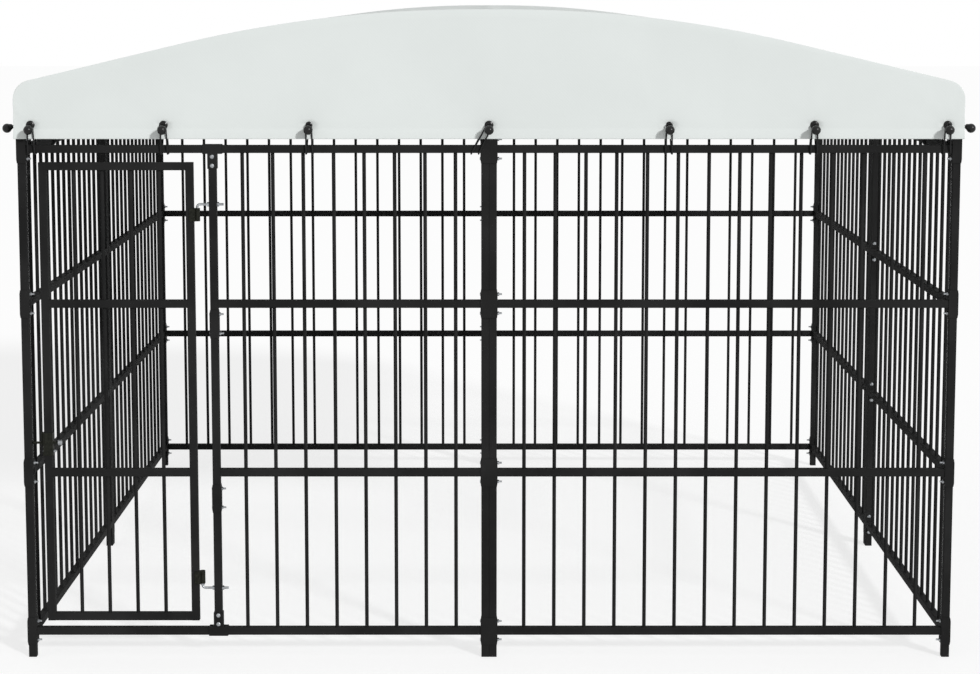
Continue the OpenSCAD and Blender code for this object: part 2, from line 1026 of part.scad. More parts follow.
// The lower pin has a collar that carries the door
module hinge_pin_bottom() {
    hinge_pin(pin_foot_z, 1, eye_foot_z + eye_h - 5 - pin_foot_z);
    color(zinc)
        translate([hinge_x, wall_y, eye_foot_z - 4])
            difference() {
                cylinder(h = 3.7, d = eye_d * 0.8);
                translate([0, 0, -1])
                    cylinder(h = 8, d = pin_d - 0.5);
            }
}

module hinge_nuts() {
    for (z = [pin_top_z, pin_foot_z])
        translate([-door_post_at, wall_y, z])
            for (at = [-half - pin_nut_h, half])
                nut(at, pin_nut_af, pin_nut_h, pin_d);
}

// Eye with a leaf that laps onto the front of the door's stile
module hinge_eye(z) {
    color(dark)
        translate([hinge_x, wall_y, z])
            difference() {
                union() {
                    cylinder(h = eye_h, d = eye_d);
                    translate([-hinge_out, -half - leaf_t, 0])
                        cube([hinge_out / 2, half + leaf_t + eye_d / 4, eye_h]);
                    translate([-hinge_out, -eye_d / 4, 0])
                        cube([hinge_out, eye_d / 2, eye_h]);
                    translate([-hinge_out - leaf_w, -half - leaf_t, 0])
                        cube([leaf_w + 1, leaf_t, eye_h]);
                }
                translate([0, 0, -1])
                    cylinder(h = eye_h + 2, d = pin_d + run_room);
            }
}

module door_panel() {
    width = door_right - door_left;
    height = door_head - door_foot;
    pitch = (width - 2 * tube + bar_d) / (door_bars + 1);
    first = door_left + tube - bar_d / 2 + pitch;
    inner = half - tube_wall - 3;
    low = door_foot + half;
    high = door_head - half;
    color(steel)
        translate([0, wall_y, 0])
            difference() {
                union() {
                    for (x = [door_left + half, door_right - half])
                        translate([x, 0, door_foot])
                            linear_extrude(height)
                                tube_section();
                    for (z = [low, rail_2, rail_3, high])
                        translate([door_left + tube - tube_wall, 0, z])
                            rail(width - 2 * tube + 2 * tube_wall);
                    bars(door_bars, first, pitch, low + inner, high - inner, bar_d);
                }
                bars(door_bars, first, pitch, low, high, bar_d - 2 * bar_wall);
                translate([0, 0, latch_z])
                    along_x(rod_d + run_room, door_left - 1, door_left + tube + 1);
                translate([0, 0, latch_z - latch_bolt_drop])
                    along_x(hole_d, door_left - 1, door_left + tube + 1);
            }
}

// U of plate round the door's latch tube, with a lug that guides the rod
module latch_housing() {
    low = latch_z - latch_down;
    high = latch_z + latch_up;
    color(dark)
        translate([door_left, wall_y, 0])
            difference() {
                union() {
                    translate([-latch_plate, -half - latch_plate, low])
                        cube([tube + 2 * latch_plate, tube + latch_plate, high - low]);
                    translate([-latch_plate - lug, -rod_d, latch_z - rod_d])
                        cube([lug + 1, 2 * rod_d, latch_up + rod_d]);
                }
                translate([0, -half, low - 1])
                    cube([tube, tube + 1, high - low + 2]);
                translate([-latch_plate - 1, -half, latch_z - latch_bolt_drop + 6])
                    cube([latch_plate + 1, tube + 1, latch_bolt_drop - rod_d - 6]);
                translate([0, 0, latch_z])
                    along_x(rod_d + run_room, -far, far);
                translate([0, 0, latch_z - latch_bolt_drop])
                    along_x(hole_d, -far, far);
            }
}

module at_latch_bolt() {
    translate([door_left + half, wall_y, latch_z - latch_bolt_drop])
        children();
}

module latch_bolt() {
    color(zinc)
        at_latch_bolt() {
            along_x(bolt_d, -half - latch_plate, half + latch_plate + nut_h + 4);
            translate([-half - latch_plate, 0, 0])
                rotate([0, -90, 0])
                    cylinder(h = head_h + 1, d1 = nut_af, d2 = nut_af * 0.8);
        }
}

module latch_nut() {
    at_latch_bolt()
        nut(half + latch_plate, nut_af, nut_h, bolt_d);
}

module latch_rod() {
    color(zinc)
        translate([0, wall_y, latch_z]) {
            along_x(rod_d, rod_tip + 1, knob_left + knob_l / 2);
            translate([rod_tip, 0, 0])
                rotate([0, 90, 0])
                    cylinder(h = 1, d1 = rod_d - 2, d2 = rod_d);
        }
}

module latch_knob() {
    color(dark)
        translate([knob_left, wall_y, latch_z])
            rotate([0, 90, 0])
                difference() {
                    union() {
                        cylinder(h = 3, d1 = knob_d * 0.8, d2 = knob_d);
                        translate([0, 0, 3])
                            cylinder(h = knob_l - 5, d = knob_d);
                        translate([0, 0, knob_l - 2])
                            cylinder(h = 2, d1 = knob_d, d2 = knob_d * 0.8);
                    }
                    translate([0, 0, -1])
                        cylinder(h = knob_l / 2 + 1, d = rod_d);
                }
}

corner_post(-1, -1);  // post_front_left
corner_post(1, -1);  // post_front_right
corner_post(-1, 1);  // post_back_left
corner_post(1, 1);  // post_back_right
mid_post(0, -1);  // mid_front_left
mid_post(0, 1);  // mid_front_right
mid_post(1, -1);  // mid_right_front
mid_post(1, 1);  // mid_right_back
mid_post(2, -1);  // mid_back_right
mid_post(2, 1);  // mid_back_left
mid_post(3, -1);  // mid_left_back
mid_post(3, 1);  // mid_left_front
door_post_part();  // door_post
short_panel();  // panel_front_left
full_panel(0, 1);  // panel_front_right
full_panel(1, -1);  // panel_right_front
full_panel(1, 1);  // panel_right_back
full_panel(2, -1);  // panel_back_right
full_panel(2, 1);  // panel_back_left
full_panel(3, -1);  // panel_left_back
full_panel(3, 1);  // panel_left_front
door_rail(rail_4);  // header_rail
door_rail(rail_1);  // sill_rail
tee(rail_4, -1);  // tee_top
tee(rail_1, 1);  // tee_bottom
corner_clamps();
mid_clamps();
door_post_clamps();
clamp_bolts();
clamp_nuts();
tee_bolts();
tee_nuts();
arch(arches[0], -1);  // arch_front_left
arch(arches[0], 1);  // arch_front_right
arch(arches[1], -1);  // arch_mid_left
arch(arches[1], 1);  // arch_mid_right
arch(arches[2], -1);  // arch_back_left
arch(arches[2], 1);  // arch_back_right
ridge_tube(arches[0] + half, arches[1] - half, ridge_screws_at);  // ridge_front
ridge_tube(arches[1] + half, arches[2] - half, ridge_screws_at);  // ridge_back
inner_sleeves();
saddle_plates();
ridge_screws();
foot_plugs();
top_plugs();
roof_cover();
cover_eyelets();
tie_cords();
tie_balls();
hinge_pin_top();
hinge_pin_bottom();
hinge_nuts();
hinge_eye(eye_top_z);  // hinge_eye_top
hinge_eye(eye_foot_z);  // hinge_eye_bottom
door_panel();
latch_housing();
latch_bolt();
latch_nut();
latch_rod();
latch_knob();
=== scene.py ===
import json
import math

import bmesh
import bpy
import numpy as np
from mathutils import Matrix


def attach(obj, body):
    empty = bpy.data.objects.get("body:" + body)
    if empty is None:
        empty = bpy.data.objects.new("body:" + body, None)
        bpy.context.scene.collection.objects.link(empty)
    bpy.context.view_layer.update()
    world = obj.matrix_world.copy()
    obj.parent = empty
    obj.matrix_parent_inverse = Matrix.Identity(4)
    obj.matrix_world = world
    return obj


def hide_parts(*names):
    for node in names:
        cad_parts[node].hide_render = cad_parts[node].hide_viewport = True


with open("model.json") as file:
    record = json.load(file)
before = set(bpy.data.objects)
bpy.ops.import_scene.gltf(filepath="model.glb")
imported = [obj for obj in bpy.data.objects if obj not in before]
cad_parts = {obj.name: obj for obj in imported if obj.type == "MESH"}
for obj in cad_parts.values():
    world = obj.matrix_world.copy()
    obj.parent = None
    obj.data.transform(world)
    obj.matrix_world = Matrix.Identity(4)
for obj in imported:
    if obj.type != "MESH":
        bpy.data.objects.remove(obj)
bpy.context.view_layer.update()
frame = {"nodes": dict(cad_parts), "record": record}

NODES = frame["nodes"]

# Sizes of the run in metres; they repeat the part's own.
HALF_RUN = 1.5
TUBE = 0.025
RIDGE = 2.1
TOP_RAIL = 1.658
COVER_GAP, COVER_T = 0.006, 0.0015
FACE = COVER_GAP + COVER_T
SKIRT = HALF_RUN + COVER_GAP + COVER_T
HEM_RISE, EYELET_RISE, EYELET_R = 0.0327, 0.0443, 0.014
HEM = TOP_RAIL + HEM_RISE
TIE_Z = HEM + EYELET_RISE
ROOF_FLAT, ROOF_R, EAVE_R = 0.05, 4.0, 0.06
PITCH = math.radians(13.4)

# The cover's line: a level strip, an arc, a straight slope, the eave's arc and an upright skirt.
ARC_END = ROOF_FLAT + ROOF_R * math.sin(PITCH)
ARC_Z = RIDGE - ROOF_R * (1 - math.cos(PITCH))
EAVE_Z = ARC_Z - (SKIRT - ARC_END) * math.tan(PITCH) - EAVE_R * math.tan((math.pi / 2 - PITCH) / 2)
BEND = SKIRT - EAVE_R * (1 - math.sin(PITCH))

# Places of the ties along each wall, from its middle.
TIES_GABLE = (0.571, 1.032, 1.454)
TIES_SIDE = (0.571, 1.032, 1.440)
TIE_SIDE_MID = 0.062
TIE_LEAN = math.radians(26)
FRONT_TIES = np.array([s * x for x in TIES_GABLE for s in (-1, 1)] + [0.0])
SIDE_TIES = np.array([s * x for x in TIES_SIDE for s in (-1, 1)] + [-TIE_SIDE_MID])

# A tie's ball with its collar, and the cord's way round the top rail.
BALL_D, BALL_OUT, BALL_DROP = 0.030, 0.035, 0.014
BALL_SIDES, BALL_STEPS, CONE_STEPS, LIP_STEPS = 28, 22, 4, 5
BALL_DIP = math.atan2(BALL_DROP, BALL_OUT)
BALL_END = math.asin(0.70)
BEAD_H, BEAD_AT, BEAD_W = 0.0002, -0.1, 0.05
COLLAR_REACH, COLLAR_D, COLLAR_TAPER = 0.0195, 0.014, 0.4
COLLAR_FROM, COLLAR_TO, LIP_R, FACE_RING = 0.0065, 0.0015, 0.0012, 0.002
CORD_D, CORD_CLEAR, CORD_FRONT = 0.005, 0.0003, 0.0032
CORD_SIDES, BEND_STEPS, BIGHT_STEPS = 10, 7, 17
STRAND_HALF, STRAND_LOW = 0.003, 0.0106
STRAND_BENDS = (0.008, 0.0045, 0.005)
HOOK_OUT, HOOK_R = 0.010, 0.0087
RAIL_DROP = TIE_Z - (TOP_RAIL - TUBE / 2 - CORD_D / 2 - CORD_CLEAR)
HOOK_TILT = math.atan2(FACE + HOOK_OUT - CORD_FRONT, RAIL_DROP - HOOK_OUT * math.tan(BALL_DIP))

# The cover's mesh and its slack.
GRID_STEP, EYELET_CELL = 0.025, 0.0083
HEM_EDGE, HEM_FOLD, HEM_STEP, HEM_T = 0.003, 0.0255, 0.003, 0.0007
LOW_END, GABLE_ROWS = 0.065, 12
EAVE_STEPS = np.radians([0, 12, 24, 36, 48, 58])
INNER = HALF_RUN - TUBE
FRONT_BAY, BACK_BAY = (-INNER, -TUBE), (0.0, INNER)
BULGE, BULGE_UP, TIE_REACH = 0.0016, 0.075, 0.09
FOLD, FOLD_REACH, FOLD_RAYS = 0.0004, 0.06, 9
WAVE, WAVE_X, WAVE_Z, WAVE_SHIFT = 0.0015, 5.1, 6.0, 1.3
WAVE_TOP, WAVE_SIDE = 0.10, 0.12
SAG, SAG_LEVEL, RIDGE_HOLD, EAVE_POWER = 0.026, 0.55, 0.05, 6
SEAM_R, SEAM_STEPS, SEAM_ANGLE = 0.004, 3, math.radians(60)
WELD, ON_FACE = 1e-6, 1e-5

# The photo's camera, the key light and the floor.
PHOTO_W, FOCAL, SENSOR = 980, 2222, 36.0
EYE, TILT = (0, -8.549, 2.141), math.radians(6.487)
SHIFT_X, SHIFT_Y, FAR_CLIP = 0.001, -0.09, 200
SUN, SUN_ANGLE, SUN_AIM = 2.1, math.radians(6), (-0.75, 1.0, -0.6)
SKY_LIGHT = 0.42
FLOOR_HALF, FLOOR_GLOW, FLOOR_SHARE = 60, 1.2, 0.6


def linear(code):
    """A hex sRGB colour as linear RGBA: c / 12.92 up to 0.04045, above it ((c + 0.055) / 1.055) ** 2.4."""
    c = np.array([int(code[i:i + 2], 16) for i in (1, 3, 5)]) / 255
    return (*np.where(c <= 0.04045, c / 12.92, ((c + 0.055) / 1.055) ** 2.4), 1.0)


def add(tree, kind, sockets=None, stops=(), **settings):
    """Adds one node with its settings; a socket takes a value, or the output that feeds it, and a ramp its stops."""
    node = tree.nodes.new(kind)
    for name, value in settings.items():
        setattr(node, name, value)
    for key, value in (sockets or {}).items():
        if isinstance(value, bpy.types.NodeSocket):
            tree.links.new(value, node.inputs[key])
        else:
            node.inputs[key].default_value = value
    for number, (at, code) in enumerate(stops):
        node.color_ramp.elements[number].position = at
        node.color_ramp.elements[number].color = linear(code)
    return node


def finish_named(name):
    """A material with an empty node tree."""
    made = bpy.data.materials.new(name)
    made.use_nodes = True
    made.node_tree.nodes.clear()
    return made, made.node_tree


def powder_coat():
    """Polyester powder coat baked on steel tube: dull black, faintly pebbled, with slow changes of gloss."""
    made, tree = finish_named("dull_black_powder_coat")
    place = add(tree, "ShaderNodeTexCoord").outputs["Object"]
    # Orange peel is about 2 mm wide; it is drawn 5 mm wide, so that it shows at all.
    peel = add(tree, "ShaderNodeTexNoise", {"Vector": place, "Scale": 1 / 0.005, "Detail": 2.0})
    # Bands of slightly different gloss, about 180 mm long, come from the spray pattern.
    cloud = add(tree, "ShaderNodeTexNoise", {"Vector": place, "Scale": 1 / 0.18, "Detail": 3.0})
    stops = [(0.35, "#1f1f1f"), (0.65, "#292929")]
    tone = add(tree, "ShaderNodeValToRGB", {"Fac": cloud.outputs["Fac"]}, stops)
    gloss = add(tree, "ShaderNodeMapRange", {
        "Value": cloud.outputs["Fac"], "From Min": 0.3, "From Max": 0.7, "To Min": 0.66, "To Max": 0.78,
    })
    bump = add(tree, "ShaderNodeBump", {"Height": peel.outputs["Fac"], "Strength": 0.22, "Distance": 0.0004})
    shader = add(tree, "ShaderNodeBsdfPrincipled", {
        "Base Color": tone.outputs["Color"], "Roughness": gloss.outputs["Result"],
        "Specular IOR Level": 0.04, "Normal": bump.outputs["Normal"],
    })
    add(tree, "ShaderNodeOutputMaterial", {"Surface": shader.outputs["BSDF"]})
    return made


def stove_black():
    """Thin stoving enamel on pressed plate: an olive black that is rubbed a little paler in patches."""
    made, tree = finish_named("olive_black_stove_enamel")
    place = add(tree, "ShaderNodeTexCoord").outputs["Object"]
    # Rub marks about 9 mm across from the fitter's tools.
    rub = add(tree, "ShaderNodeTexNoise", {"Vector": place, "Scale": 1 / 0.009, "Detail": 4.0, "Roughness": 0.6})
    stops = [(0.4, "#181914"), (0.72, "#2a2b25")]
    tone = add(tree, "ShaderNodeValToRGB", {"Fac": rub.outputs["Fac"]}, stops)
    bump = add(tree, "ShaderNodeBump", {"Height": rub.outputs["Fac"], "Strength": 0.2, "Distance": 0.0004})
    shader = add(tree, "ShaderNodeBsdfPrincipled", {
        "Base Color": tone.outputs["Color"], "Roughness": 0.6,
        "Specular IOR Level": 0.1, "Normal": bump.outputs["Normal"],
    })
    add(tree, "ShaderNodeOutputMaterial", {"Surface": shader.outputs["BSDF"]})
    return made


def zinc_plate():
    """Bright zinc plating: a pale blue-grey metal with soft blotches where the bath ran off."""
    made, tree = finish_named("bright_zinc_plating")
    place = add(tree, "ShaderNodeTexCoord").outputs["Object"]
    # Blotches about 6 mm across.
    blotch = add(tree, "ShaderNodeTexNoise", {"Vector": place, "Scale": 1 / 0.006, "Detail": 3.0})
    stops = [(0.35, "#8a8d90"), (0.68, "#bcbfc2")]
    tone = add(tree, "ShaderNodeValToRGB", {"Fac": blotch.outputs["Fac"]}, stops)
    gloss = add(tree, "ShaderNodeMapRange", {"Value": blotch.outputs["Fac"], "To Min": 0.42, "To Max": 0.26})
    shader = add(tree, "ShaderNodeBsdfPrincipled", {
        "Base Color": tone.outputs["Color"], "Metallic": 1.0, "Roughness": gloss.outputs["Result"],
    })
    add(tree, "ShaderNodeOutputMaterial", {"Surface": shader.outputs["BSDF"]})
    return made


def moulded_black():
    """Polyethylene moulding, such as a tube plug: dull black with a spark-eroded grain."""
    made, tree = finish_named("grained_black_polyethylene")
    place = add(tree, "ShaderNodeTexCoord").outputs["Object"]
    # The grain is about 0.6 mm; it is drawn 2 mm wide, so that it shows.
    grain = add(tree, "ShaderNodeTexVoronoi", {"Vector": place, "Scale": 1 / 0.002})
    stops = [(0, "#0f0f0f"), (1, "#181818")]
    tone = add(tree, "ShaderNodeValToRGB", {"Fac": grain.outputs["Distance"]}, stops)
    bump = add(tree, "ShaderNodeBump", {"Height": grain.outputs["Distance"], "Strength": 0.3, "Distance": 0.0003})
    shader = add(tree, "ShaderNodeBsdfPrincipled", {
        "Base Color": tone.outputs["Color"], "Roughness": 0.55,
        "Specular IOR Level": 0.35, "Normal": bump.outputs["Normal"],
    })
    add(tree, "ShaderNodeOutputMaterial", {"Surface": shader.outputs["BSDF"]})
    return made


def glossy_ball():
    """ABS ball from a polished mould: deep black with a small highlight and faint flow marks."""
    made, tree = finish_named("polished_black_abs")
    place = add(tree, "ShaderNodeTexCoord").outputs["Object"]
    # Flow marks about 8 mm apart.
    flow = add(tree, "ShaderNodeTexNoise", {"Vector": place, "Scale": 1 / 0.008, "Distortion": 0.6})
    stops = [(0, "#080808"), (1, "#161616")]
    tone = add(tree, "ShaderNodeValToRGB", {"Fac": flow.outputs["Fac"]}, stops)
    gloss = add(tree, "ShaderNodeMapRange", {"Value": flow.outputs["Fac"], "To Min": 0.22, "To Max": 0.34})
    shader = add(tree, "ShaderNodeBsdfPrincipled", {
        "Base Color": tone.outputs["Color"], "Roughness": gloss.outputs["Result"], "Specular IOR Level": 0.3,
    })
    add(tree, "ShaderNodeOutputMaterial", {"Surface": shader.outputs["BSDF"]})
    return made


def braided_cord():
    """Elastic cord in a polyester braid: black yarns that cross in a herringbone along the cord."""
    made, tree = finish_named("black_braided_elastic")
    along = add(tree, "ShaderNodeTexCoord").outputs["UV"]
    split = add(tree, "ShaderNodeSeparateXYZ", {"Vector": along})
    # Yarns are about 1.2 mm wide: u goes once round the cord, v is the length in metres.
    turn = add(tree, "ShaderNodeMath", {0: split.outputs["X"], 1: 4 * 2 * math.pi}, operation="MULTIPLY")
    run = add(tree, "ShaderNodeMath", {0: split.outputs["Y"], 1: 2 * math.pi / 0.0024}, operation="MULTIPLY")
    left = add(tree, "ShaderNodeMath", {0: run.outputs[0], 1: turn.outputs[0]}, operation="ADD")
    right = add(tree, "ShaderNodeMath", {0: run.outputs[0], 1: turn.outputs[0]}, operation="SUBTRACT")
    one = add(tree, "ShaderNodeMath", {0: left.outputs[0]}, operation="SINE")
    two = add(tree, "ShaderNodeMath", {0: right.outputs[0]}, operation="SINE")
    yarn = add(tree, "ShaderNodeMath", {0: one.outputs[0], 1: two.outputs[0]}, operation="MAXIMUM")
    tone = add(tree, "ShaderNodeValToRGB", {"Fac": yarn.outputs[0]}, [(0, "#080808"), (1, "#1c1c1d")])
    bump = add(tree, "ShaderNodeBump", {"Height": yarn.outputs[0], "Strength": 0.5, "Distance": 0.0003})
    shader = add(tree, "ShaderNodeBsdfPrincipled", {
        "Base Color": tone.outputs["Color"], "Roughness": 0.7,
        "Specular IOR Level": 0.3, "Normal": bump.outputs["Normal"],
    })
    add(tree, "ShaderNodeOutputMaterial", {"Surface": shader.outputs["BSDF"]})
    return made


def coated_cloth():
    """Coated polyethylene weave: off-white tapes under a thin dull film whose thickness wanders."""
    made, tree = finish_named("off_white_coated_weave")
    flat = add(tree, "ShaderNodeTexCoord").outputs["UV"]
    split = add(tree, "ShaderNodeSeparateXYZ", {"Vector": flat})
    # The tapes are about 2.5 mm wide; the weave is drawn with a 10 mm pitch, so that it shows.
    tapes = 2 * math.pi / 0.010
    warp = add(tree, "ShaderNodeMath", {0: split.outputs["X"], 1: tapes}, operation="MULTIPLY")
    weft = add(tree, "ShaderNodeMath", {0: split.outputs["Y"], 1: tapes}, operation="MULTIPLY")
    one = add(tree, "ShaderNodeMath", {0: warp.outputs[0]}, operation="SINE")
    two = add(tree, "ShaderNodeMath", {0: weft.outputs[0]}, operation="SINE")
    weave = add(tree, "ShaderNodeMath", {0: one.outputs[0], 1: two.outputs[0]}, operation="MULTIPLY")
    # The film's thickness wanders over about 0.4 m.
    cloud = add(tree, "ShaderNodeTexNoise", {"Vector": flat, "Scale": 1 / 0.4, "Detail": 3.0})
    level = add(
        tree, "ShaderNodeMath", {0: weave.outputs[0], 1: 0.06, 2: cloud.outputs["Fac"]}, operation="MULTIPLY_ADD",
    )
    tone = add(tree, "ShaderNodeValToRGB", {"Fac": level.outputs[0]}, [(0.25, "#dce1df"), (0.75, "#e2e7e5")])
    bump = add(tree, "ShaderNodeBump", {"Height": weave.outputs[0], "Strength": 0.12, "Distance": 0.0003})
    shader = add(tree, "ShaderNodeBsdfPrincipled", {
        "Base Color": tone.outputs["Color"], "Roughness": 0.62,
        "Specular IOR Level": 0.3, "Normal": bump.outputs["Normal"],
    })
    add(tree, "ShaderNodeOutputMaterial", {"Surface": shader.outputs["BSDF"]})
    return made


def studio_floor():
    """A plain pale floor: camera and mirror rays see mostly white, with a soft trace of the run's shadow."""
    made, tree = finish_named("pale_studio_floor")
    paint = add(tree, "ShaderNodeBsdfPrincipled", {
        "Base Color": linear("#f4f4f4"), "Roughness": 0.9, "Specular IOR Level": 0.0,
    })
    ray = add(tree, "ShaderNodeLightPath").outputs
    seen = add(tree, "ShaderNodeMath", {0: ray["Is Camera Ray"], 1: ray["Is Glossy Ray"]}, operation="ADD")
    seen = add(tree, "ShaderNodeMath", {0: seen.outputs[0], 1: ray["Is Transmission Ray"]}, operation="ADD")
    share = add(
        tree, "ShaderNodeMath", {0: seen.outputs[0], 1: FLOOR_SHARE}, operation="MULTIPLY", use_clamp=True,
    )
    glow = add(tree, "ShaderNodeEmission", {"Color": (1, 1, 1, 1), "Strength": FLOOR_GLOW})
    mixed = add(tree, "ShaderNodeMixShader", {
        0: share.outputs[0], 1: paint.outputs["BSDF"], 2: glow.outputs["Emission"],
    })
    add(tree, "ShaderNodeOutputMaterial", {"Surface": mixed.outputs["Shader"]})
    return made


def mesh_piece(name, points, faces, body, uv=None):
    """A mesh on a body from an array of points and one of quads, with an optional UV pair for each point.
    Points that lie on each other are joined, and the faces turned outwards."""
    mesh = bpy.data.meshes.new(name)
    mesh.from_pydata(points, [], faces)
    if uv is not None:
        layer = mesh.uv_layers.new(name="surface")
        corners = np.empty(len(mesh.loops), dtype=np.int32)
        mesh.loops.foreach_get("vertex_index", corners)
        layer.data.foreach_set("uv", np.asarray(uv, dtype=np.float32)[corners].ravel())
    mesh.polygons.foreach_set("use_smooth", np.full(len(mesh.polygons), True))
    piece = bpy.data.objects.new(name, mesh)
    bpy.context.scene.collection.objects.link(piece)
    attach(piece, body)
    made = bmesh.new()
    made.from_mesh(mesh)
    bmesh.ops.remove_doubles(made, verts=made.verts, dist=WELD)
    bmesh.ops.recalc_face_normals(made, faces=made.faces)
    made.to_mesh(mesh)
    made.free()
    return piece


def quads(rows, columns, closed=False):
    """Corner numbers of the cells of a rows by columns grid; closed joins the last column to the first."""
    number = np.arange(rows * columns).reshape(rows, columns)
    if closed:
        number = np.concatenate([number, number[:, :1]], axis=1)
    return np.stack([number[:-1, :-1], number[1:, :-1], number[1:, 1:], number[:-1, 1:]], axis=-1)


def joined(parts):
    """Grids of points with their faces and UVs as one: every grid's corner numbers move past those before it."""
    points = [p.reshape(-1, 3) for p, f, uv in parts]
    starts = np.cumsum([0] + [len(p) for p in points[:-1]])
    faces = np.concatenate([f.reshape(-1, 4) + s for (p, f, uv), s in zip(parts, starts)])
    return np.concatenate(points), faces, np.concatenate([uv.reshape(-1, 2) for p, f, uv in parts])


def at_wall(points, wall):
    """Tie space to the run: x along the wall, y outwards from the posts' face and z up from the eyelet,
    turned about Z by a quarter turn for each wall after the front."""
    turn = wall * math.pi / 2
    x, y, z = -points[..., 0], -HALF_RUN - points[..., 1], points[..., 2] + TIE_Z
    return np.stack([x * math.cos(turn) - y * math.sin(turn), x * math.sin(turn) + y * math.cos(turn), z], axis=-1)


def tie_places():
    """Every tie as (wall, place along the wall, lean): the gables' middle tie leans past its post,
    and that of a side wall stands beside it."""
    for wall in range(4):
        side_wall = wall % 2 == 1
        for x in TIES_SIDE if side_wall else TIES_GABLE:
            yield wall, x, 0.0
            yield wall, -x, 0.0
        if side_wall:
            yield wall, TIE_SIDE_MID if wall == 1 else -TIE_SIDE_MID, 0.0
        else:
            yield wall, 0.0, TIE_LEAN


def rounded(corners, radii):
    """A route with an arc at each inner corner c, from c - u s on, with s = r tan(turn / 2):
    start + u r sin a + side r (1 - cos a), where u is the way in and side points into the turn."""
    parts = [corners[:1]]
    for before, c, after, r in zip(corners[:-2], corners[1:-1], corners[2:], radii):
        u = (c - before) / np.linalg.norm(c - before)
        v = (after - c) / np.linalg.norm(after - c)
        turn = math.acos(np.clip(u @ v, -1, 1))
        side = (v - u * math.cos(turn)) / math.sin(turn)
        a = np.linspace(0, turn, BEND_STEPS)[:, None]
        start = c - u * r * math.tan(turn / 2)
        parts.append(start + u * r * np.sin(a) + side * r * (1 - np.cos(a)))
    return np.concatenate(parts + [corners[-1:]])


def neck_at(y, side):
    """Point of the cord's straight run from the ball through the eyelet, at y outwards."""
    return side * STRAND_HALF, y, (FACE - y) * math.tan(BALL_DIP)


def hook_arc(lean, angle):
    """The bight over the cord's neck: c + r (across cos a + rise sin a), both in a plane that tips outwards."""
    c = np.array(neck_at(FACE + HOOK_OUT, 0))
    upright = np.array([0, math.sin(HOOK_TILT), math.cos(HOOK_TILT)])
    level = np.array([1.0, 0, 0])
    across = level * math.cos(lean) + upright * math.sin(lean)
    rise = upright * math.cos(lean) - level * math.sin(lean)
    angle = np.atleast_1d(angle)[:, None]
    return c + HOOK_R * (across * np.cos(angle) + rise * np.sin(angle))


def strand_route(side, lean):
    """One strand in tie space: out of the ball, through the eyelet, round the top rail and up to the bight."""
    back = -TUBE - CORD_D / 2 - CORD_CLEAR
    low_x = side * STRAND_LOW / math.cos(lean) + RAIL_DROP * math.tan(lean)
    corners = np.array([
        neck_at(FACE + BALL_OUT - BALL_D / 4, side),
        neck_at(back, side),
        (low_x, back, -RAIL_DROP),
        (low_x, CORD_FRONT, -RAIL_DROP),
        hook_arc(lean, 0.0 if side > 0 else math.pi)[0],
    ])
    return rounded(corners, STRAND_BENDS)


def tie_route(lean):
    """A tie's whole cord in tie space: the right strand out of the ball, the bight, and the left strand back."""
    bight = hook_arc(lean, np.linspace(0, math.pi, BIGHT_STEPS))
    return np.concatenate([strand_route(1, lean)[:-1], bight, strand_route(-1, lean)[-2::-1]])


def tube_along(route, radius, near):
    """A round profile carried along a route and closed at both ends: p + r (n cos a + b sin a).
    n lies as near to a given direction as it can, and the route never runs along that direction."""
    along = np.gradient(route, axis=0)
    along /= np.linalg.norm(along, axis=1, keepdims=True)
    n = near - along * (along @ near)[:, None]
    n /= np.linalg.norm(n, axis=1, keepdims=True)
    b = np.cross(along, n)
    a = np.linspace(0, 2 * np.pi, CORD_SIDES + 1)
    rings = route[:, None] + radius * (n[:, None] * np.cos(a)[:, None] + b[:, None] * np.sin(a)[:, None])
    ends = [np.repeat(p[None, None], CORD_SIDES + 1, axis=1) for p in (route[0], route[-1])]
    far = np.concatenate([[0], np.cumsum(np.linalg.norm(np.diff(route, axis=0), axis=1))])
    far = np.concatenate([far[:1], far, far[-1:]])
    uv = np.stack(np.broadcast_arrays(a / (2 * np.pi), far[:, None]), axis=-1)
    return np.concatenate([ends[0], rings, ends[1]]), uv


def tie_cords(finish):
    """All ties as braided cord, one closed tube each along its route."""
    parts = []
    for wall, x, lean in tie_places():
        points, uv = tube_along(tie_route(lean), CORD_D / 2, np.ones(3))
        points = at_wall(points + np.array([x, 0, 0]), wall)
        parts.append((points, quads(*points.shape[:2])[:, :, ::-1], uv))
    points, faces, uv = joined(parts)
    piece = mesh_piece("tie_cord_strands", points, faces, "frame", uv=uv)
    piece.data.materials.append(finish)
    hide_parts("tie_cords")


def ball_profile():
    """A ball's outline as radii and heights: R (cos a, sin a) from the outer pole over the parting bead
    to the collar, whose cone ends in a lip with a quarter round and a flat face."""
    a = np.linspace(-math.pi / 2, BALL_END, BALL_STEPS)
    r = BALL_D / 2 + BEAD_H * np.exp(-((a - BEAD_AT) / BEAD_W) ** 2)
    cone = np.linspace(COLLAR_FROM, COLLAR_TO, CONE_STEPS)
    lip = np.linspace(0, math.pi / 2, LIP_STEPS)
    out = np.concatenate([
        r * np.cos(a), COLLAR_D / 2 + COLLAR_TAPER * cone, COLLAR_D / 2 - LIP_R * (1 - np.cos(lip)), [FACE_RING, 0.0],
    ])
    up = np.concatenate([
        r * np.sin(a), COLLAR_REACH - cone, COLLAR_REACH - LIP_R * (1 - np.sin(lip)), [COLLAR_REACH, COLLAR_REACH],
    ])
    return out, up


